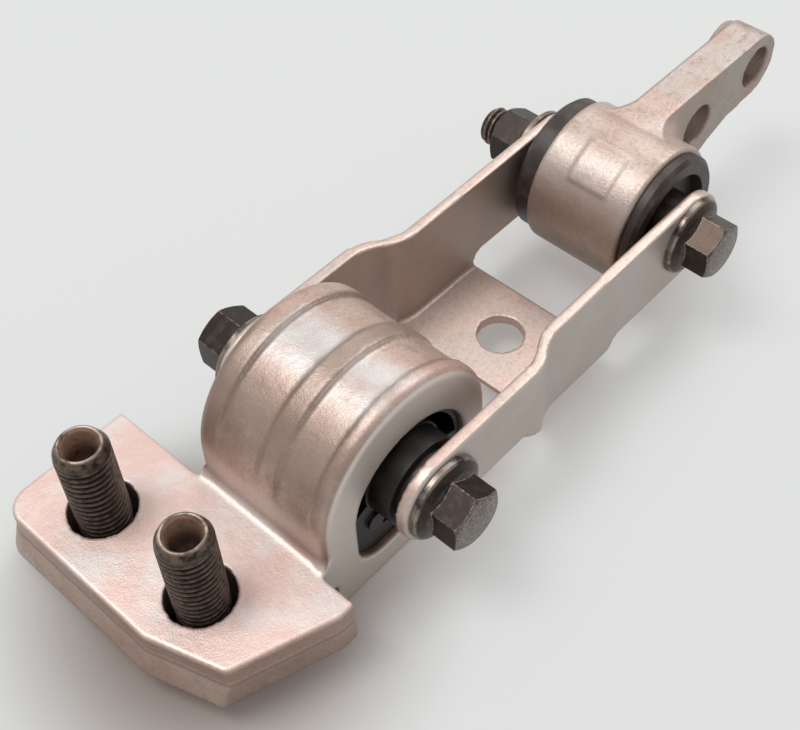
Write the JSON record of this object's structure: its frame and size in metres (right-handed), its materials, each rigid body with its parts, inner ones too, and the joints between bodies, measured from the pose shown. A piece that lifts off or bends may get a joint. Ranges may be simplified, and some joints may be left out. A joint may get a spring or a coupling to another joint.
{
  "type": "engine mount",
  "caption": "Torque-rod engine mount: cast bracket with mounting studs and a rubber-bushed housing, joined by a pressed-steel channel link and pivot bolts to a rubber-bushed cast arm.",
  "frame": {"origin": "middle of the two mounting studs, on the machined face of the front bracket", "axes": "+Z along the mounting studs, away from the machined face; +X towards the rear bracket; the pivot bolts lie along Y with their heads on the -Y side"},
  "size_m": [0.2585, 0.0993, 0.0608],
  "materials": {
    "cast_front": "machined and shot-blasted casting, darkened on its sides",
    "cast_rear": "worn die casting",
    "link_steel": "zinc-plated sheet, worn",
    "sleeve_steel": "bare drawn tube",
    "stud_steel": "black phosphated steel, worn to bright at the edges",
    "bolt_steel": "dark phosphated steel",
    "bush_rubber": "moulded black rubber"
  },
  "bodies": {
    "root": {"front_bracket": "cast_front", "stud_left": "stud_steel", "stud_right": "stud_steel", "front_bush_rubber": "bush_rubber", "front_bush_sleeve": "sleeve_steel", "link_channel": "link_steel", "front_pivot_bolt": "bolt_steel", "front_pivot_nut": "bolt_steel", "rear_bracket": "cast_rear", "rear_bush_rubber": "bush_rubber", "rear_bush_sleeve": "sleeve_steel", "rear_pivot_bolt": "bolt_steel", "rear_pivot_nut": "bolt_steel"}
  },
  "joints": []
}
